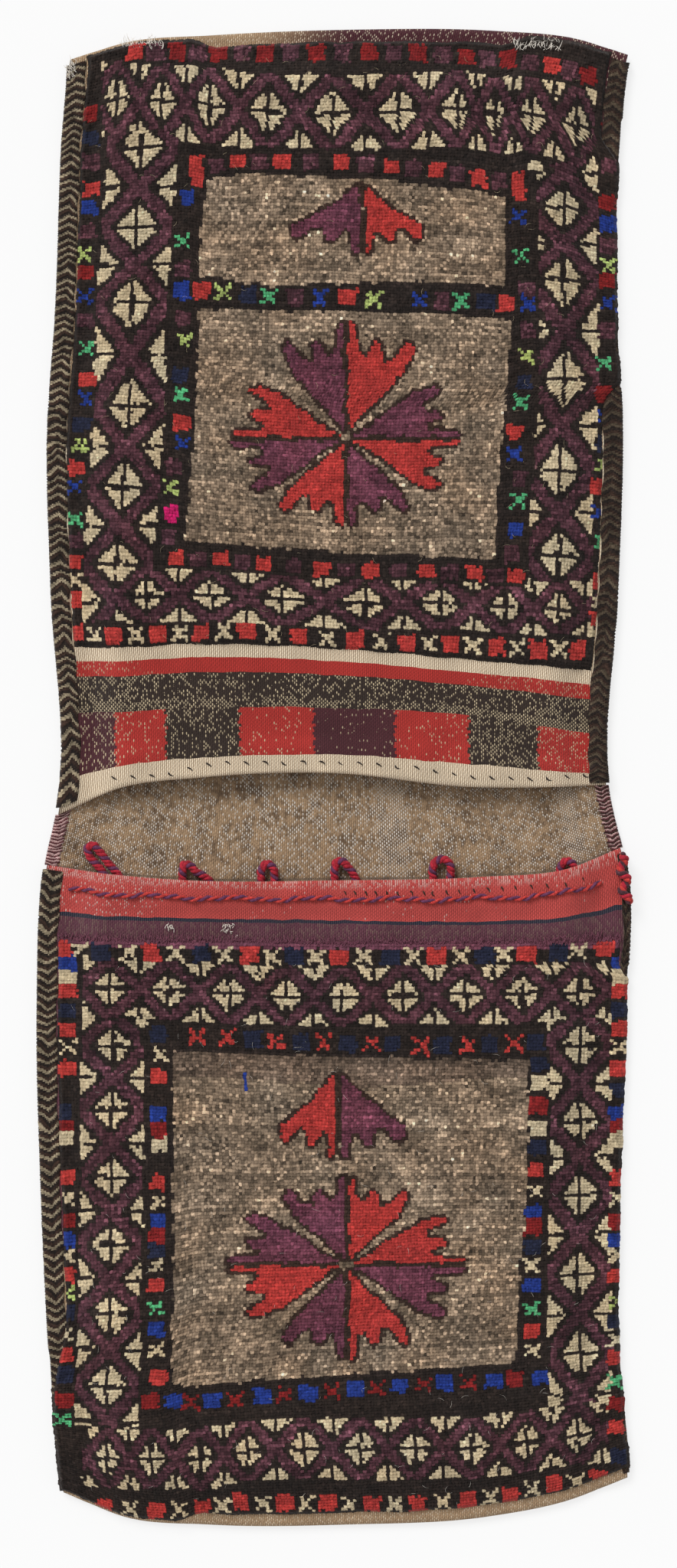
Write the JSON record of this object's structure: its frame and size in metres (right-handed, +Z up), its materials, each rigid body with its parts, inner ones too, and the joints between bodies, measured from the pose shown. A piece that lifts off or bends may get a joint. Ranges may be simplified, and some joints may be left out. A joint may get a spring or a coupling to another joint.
{
  "type": "kilim saddle bag",
  "caption": "Double saddle bag lying flat: one woven wool strip folded into two pile-faced pouches joined by a flat-woven bridge, with overcast side seams and plied closure loops at one mouth.",
  "frame": {"origin": "middle of the bridge on the bag's flat underside, where the bag would lie over a saddle", "axes": "+Z up out of the pile faces, +Y along the bag towards the longer (upper) pouch, +X to the right seen from above"},
  "size_m": [0.5142, 1.2999, 0.0304],
  "materials": {
    "woven_wool": "hand-knotted and flat-woven wool, matte, dark brown ground with red, purple, blue, cream and camel",
    "goat_hair": "coarse spun dark brown goat hair with cream wool, matte",
    "whipping_wool": "whipped maroon and pale wool yarn, matte",
    "cord_wool": "plied red and purple wool cord, matte"
  },
  "bodies": {
    "root": {"woven_body": "woven_wool", "seam_binding_upper_left": "goat_hair", "seam_binding_upper_right": "goat_hair", "seam_binding_lower_left": "goat_hair", "seam_binding_lower_right": "goat_hair", "bridge_whipping_left": "whipping_wool", "bridge_whipping_right": "whipping_wool", "mouth_cord": "cord_wool", "corner_tie": "cord_wool", "closure_loop_1": "cord_wool", "closure_loop_2": "cord_wool", "closure_loop_3": "cord_wool", "closure_loop_4": "cord_wool", "closure_loop_5": "cord_wool", "closure_loop_6": "cord_wool"}
  },
  "joints": []
}
